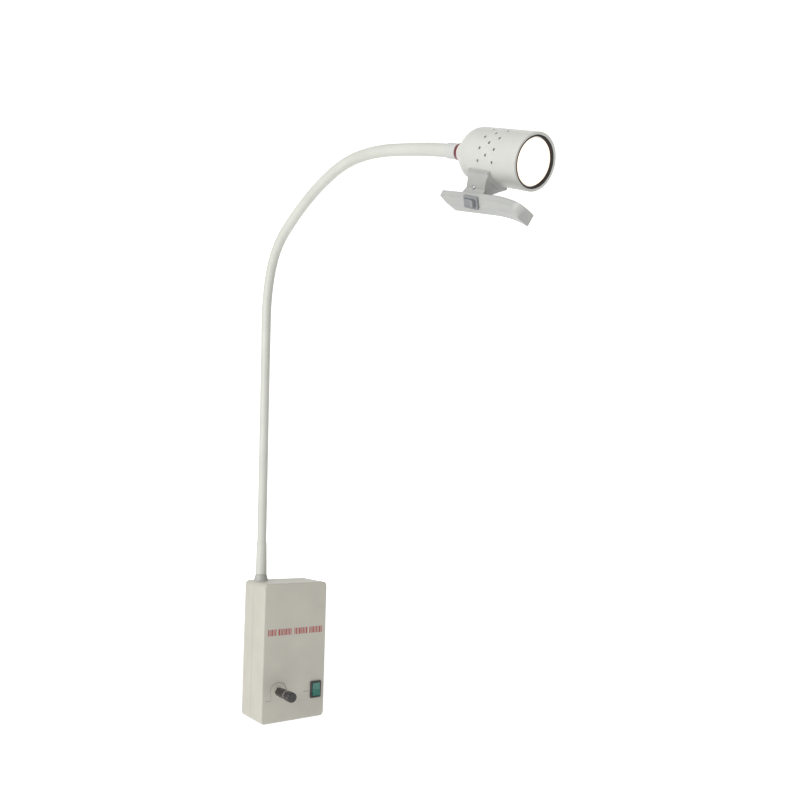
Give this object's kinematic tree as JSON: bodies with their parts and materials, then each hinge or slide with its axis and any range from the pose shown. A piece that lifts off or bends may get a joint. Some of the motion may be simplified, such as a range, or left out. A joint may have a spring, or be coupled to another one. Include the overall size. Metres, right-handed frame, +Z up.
{
  "type": "wall-mounted examination lamp",
  "caption": "Slim wall supply box with dimmer knob and rocker switch, long flexible arm, and a small cylindrical spot head carried on a swivel with a grip and its own switch.",
  "frame": {"origin": "centre of the four wall fixing holes, on the wall face of the box", "axes": "-Y out from the wall, towards the user; +Z up; +X to the right of someone facing the box"},
  "size_m": [0.0968, 0.4657, 0.64],
  "materials": {
    "box_plastic": "satin, off-white",
    "arm_sleeve": "satin, off-white",
    "grey_plastic": "satin, mid grey",
    "head_paint": "satin, off-white",
    "handle_plastic": "satin, off-white",
    "arm_end_plastic": "satin, pale grey",
    "ring_maroon": "satin, dark red",
    "washer_pale": "satin, pale",
    "steel": "plain",
    "bright_nut": "bright",
    "black_plastic": "satin, black",
    "switch_grey": "satin, blue-grey",
    "rocker_green": "gloss, green",
    "tag_brass": "plain",
    "lamp_mirror": "bright reflector",
    "lamp_glass": "clear",
    "lamp_quartz": "clear, lit",
    "pin_metal": "plain",
    "ceramic": "unglazed ceramic",
    "board_green": "satin, green",
    "component_mix": "satin",
    "sink_metal": "plain",
    "core_steel": "laminated steel, varnished",
    "coil_tape": "satin, yellow tape",
    "block_white": "satin, white"
  },
  "bodies": {
    "box": {"rear_base": "box_plastic", "front_cover": "box_plastic", "cover_screws": "steel", "inlet_grommet": "black_plastic", "neck_fitting": "steel", "neck_nut": "steel", "neck_washer": "steel", "neck_collar": "grey_plastic", "neck_boot": "arm_sleeve", "arm_link_01": "arm_sleeve", "arm_link_02": "arm_sleeve", "power_switch_body": "black_plastic", "power_switch_tags": "tag_brass", "dimmer_body": "black_plastic", "dimmer_nut": "bright_nut", "dimmer_board": "board_green", "board_components": "component_mix", "heat_sink": "sink_metal", "transformer_core": "core_steel", "transformer_coil": "coil_tape", "transformer_brackets": "steel", "bracket_screws": "steel", "terminal_block": "block_white", "fuse_holder": "black_plastic", "fuse": "lamp_glass"},
    "arm_03": {"arm_link_03": "arm_sleeve"},
    "arm_04": {"arm_link_04": "arm_sleeve"},
    "arm_05": {"arm_link_05": "arm_sleeve"},
    "arm_06": {"arm_link_06": "arm_sleeve"},
    "arm_07": {"arm_link_07": "arm_sleeve"},
    "arm_08": {"arm_link_08": "arm_sleeve"},
    "arm_09": {"arm_link_09": "arm_sleeve"},
    "arm_10": {"arm_link_10": "arm_sleeve"},
    "arm_11": {"arm_link_11": "arm_sleeve"},
    "arm_12": {"arm_link_12": "arm_sleeve"},
    "arm_13": {"arm_link_13": "arm_sleeve"},
    "arm_14": {"arm_link_14": "arm_sleeve", "arm_ferrule": "arm_end_plastic", "swivel_ring": "ring_maroon", "swivel_stud": "steel", "swivel_nut": "steel"},
    "head": {"head_shell": "head_paint", "front_ring": "black_plastic", "lamp_reflector": "lamp_mirror", "lamp_glass": "lamp_glass", "lamp_capsule": "lamp_quartz", "lamp_pins": "pin_metal", "lamp_socket": "ceramic", "socket_plate": "steel", "socket_screws": "steel", "swivel_washer": "washer_pale", "handle_upper": "handle_plastic", "handle_lower": "handle_plastic", "grip_switch_body": "switch_grey"},
    "dimmer_knob": {"dimmer_shaft": "steel", "knob_barrel": "black_plastic", "knob_trim_ring": "bright_nut", "knob_cap": "black_plastic"},
    "power_switch_rocker": {"power_rocker": "rocker_green"},
    "grip_switch_rocker": {"grip_rocker": "switch_grey"}
  },
  "joints": [
    {"name": "neck_side", "type": "hinge", "parent": "box", "child": "arm_03", "pos_m": [-0.0294, -0.01228, 0.19578], "axis": [0, 1, 0], "range_deg": [-12, 12]},
    {"name": "neck_lean", "type": "hinge", "parent": "arm_03", "child": "arm_04", "pos_m": [-0.0294, -0.01112, 0.25116], "axis": [1, 0, 0], "range_deg": [0, 12]},
    {"name": "neck_side_2", "type": "hinge", "parent": "arm_04", "child": "arm_05", "pos_m": [-0.0294, -0.00996, 0.30655], "axis": [0, 1, 0], "range_deg": [-12, 12]},
    {"name": "neck_lean_2", "type": "hinge", "parent": "arm_05", "child": "arm_06", "pos_m": [-0.0294, -0.0088, 0.36194], "axis": [1, 0, 0], "range_deg": [0, 12]},
    {"name": "neck_bend", "type": "hinge", "parent": "arm_06", "child": "arm_07", "pos_m": [-0.0294, -0.00764, 0.41733], "axis": [1, 0, 0], "range_deg": [-12, 8]},
    {"name": "neck_bend_2", "type": "hinge", "parent": "arm_07", "child": "arm_08", "pos_m": [-0.0294, -0.01619, 0.47177], "axis": [1, 0, 0], "range_deg": [-12, 8]},
    {"name": "neck_bend_3", "type": "hinge", "parent": "arm_08", "child": "arm_09", "pos_m": [-0.0294, -0.0516, 0.51262], "axis": [1, 0, 0], "range_deg": [-12, 8]},
    {"name": "neck_bend_4", "type": "hinge", "parent": "arm_09", "child": "arm_10", "pos_m": [-0.0294, -0.10266, 0.53398], "axis": [1, 0, 0], "range_deg": [-12, 8]},
    {"name": "neck_bend_5", "type": "hinge", "parent": "arm_10", "child": "arm_11", "pos_m": [-0.0294, -0.15662, 0.54614], "axis": [1, 0, 0], "range_deg": [-12, 8]},
    {"name": "neck_bend_6", "type": "hinge", "parent": "arm_11", "child": "arm_12", "pos_m": [-0.0294, -0.2118, 0.54489], "axis": [1, 0, 0], "range_deg": [-12, 8]},
    {"name": "neck_bend_7", "type": "hinge", "parent": "arm_12", "child": "arm_13", "pos_m": [-0.0294, -0.26543, 0.53122], "axis": [1, 0, 0], "range_deg": [-12, 8]},
    {"name": "neck_bend_8", "type": "hinge", "parent": "arm_13", "child": "arm_14", "pos_m": [-0.0294, -0.31756, 0.51245], "axis": [1, 0, 0], "range_deg": [-12, 8]},
    {"name": "head_swivel", "type": "hinge", "parent": "arm_14", "child": "head", "pos_m": [-0.0294, -0.36862, 0.49099], "axis": [0, -0.9078, -0.4195], "range_deg": [-75, 105]},
    {"name": "dimmer_turn", "type": "hinge", "parent": "box", "child": "dimmer_knob", "pos_m": [-0.0216, -0.054, -0.0465], "axis": [0, -1, 0], "range_deg": [-90, 180]},
    {"name": "power_rocker_tilt", "type": "hinge", "parent": "box", "child": "power_switch_rocker", "pos_m": [0.0305, -0.054, -0.05], "axis": [1, 0, 0], "range_deg": [0, 14]},
    {"name": "grip_rocker_tilt", "type": "hinge", "parent": "head", "child": "grip_switch_rocker", "pos_m": [-0.04814, -0.40666, 0.43029], "axis": [0.5, 0.3633, -0.7862], "range_deg": [-14, 0]}
  ],
  "couplings": [
    {"joint": "neck_side_2", "follows": "neck_side", "ratio": 1},
    {"joint": "neck_lean_2", "follows": "neck_lean", "ratio": 1},
    {"joint": "neck_bend_2", "follows": "neck_bend", "ratio": 1},
    {"joint": "neck_bend_3", "follows": "neck_bend", "ratio": 1},
    {"joint": "neck_bend_4", "follows": "neck_bend", "ratio": 1},
    {"joint": "neck_bend_5", "follows": "neck_bend", "ratio": 1},
    {"joint": "neck_bend_6", "follows": "neck_bend", "ratio": 1},
    {"joint": "neck_bend_7", "follows": "neck_bend", "ratio": 1},
    {"joint": "neck_bend_8", "follows": "neck_bend", "ratio": 1}
  ]
}
